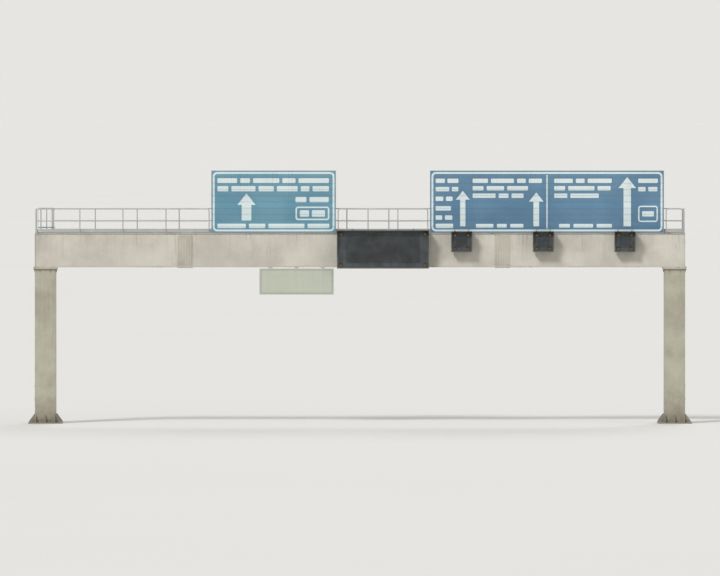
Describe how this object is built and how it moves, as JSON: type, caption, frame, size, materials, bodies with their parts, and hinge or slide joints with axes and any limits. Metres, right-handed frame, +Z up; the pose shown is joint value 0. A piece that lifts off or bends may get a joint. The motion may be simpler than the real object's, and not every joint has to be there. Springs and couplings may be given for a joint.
{
  "type": "overhead sign gantry",
  "caption": "Steel box portal gantry over a carriageway, with blue direction signs, a message sign, lane signals, a walkway and a caged ladder.",
  "frame": {"origin": "on the ground, in the middle of the part's box", "axes": "+X along the beam, to the right as a driver sees the sign faces; +Y away from that driver, so the sign faces look towards -Y; +Z up"},
  "size_m": [30.35, 2.9578, 11.575],
  "materials": {
    "structure_paint": "weathered pale paint on steel plate",
    "galvanised_steel": "dull hot-dip zinc",
    "sign_alloy": "mill-finish extrusion, dulled",
    "case_black": "matt black powder coat, faded",
    "display_dark": "dark display front",
    "plate_pale": "pale sign sheeting on plate, faded",
    "sheeting_blue": "reflective sign sheeting, faded",
    "sheeting_white": "reflective sign sheeting, faded",
    "fixings": "zinc-coated bolts and clips",
    "lens_amber": "unlit amber lens"
  },
  "bodies": {
    "root": {"base_left": "structure_paint", "base_right": "structure_paint", "leg_left": "structure_paint", "leg_right": "structure_paint", "leg_door_left": "structure_paint", "leg_door_right": "structure_paint", "beam_left": "structure_paint", "beam_middle": "structure_paint", "beam_right": "structure_paint", "splice_left": "structure_paint", "splice_right": "structure_paint", "walkway_deck": "galvanised_steel", "guardrail_back": "galvanised_steel", "guardrail_end_left": "galvanised_steel", "guardrail_end_right": "galvanised_steel", "guardrail_front_left": "galvanised_steel", "guardrail_front_middle": "galvanised_steel", "guardrail_front_right": "galvanised_steel", "ladder": "galvanised_steel", "ladder_cage": "galvanised_steel", "sign_1_panel": "sign_alloy", "sign_1_trim": "sign_alloy", "sign_1_rails": "galvanised_steel", "sign_1_posts": "galvanised_steel", "sign_2_panel": "sign_alloy", "sign_2_trim": "sign_alloy", "sign_2_rails": "galvanised_steel", "sign_2_posts": "galvanised_steel", "message_case": "case_black", "message_face": "display_dark", "message_hood": "case_black", "message_brackets": "structure_paint", "lane_signal_1_case": "case_black", "lane_signal_2_case": "case_black", "lane_signal_3_case": "case_black", "lane_signal_1_hood": "case_black", "lane_signal_2_hood": "case_black", "lane_signal_3_hood": "case_black", "lane_signal_faces": "display_dark", "lane_signal_brackets": "structure_paint", "hanging_plate": "plate_pale", "hanging_plate_channels": "galvanised_steel", "cable_trunking": "galvanised_steel", "junction_boxes": "galvanised_steel"}
  },
  "joints": []
}
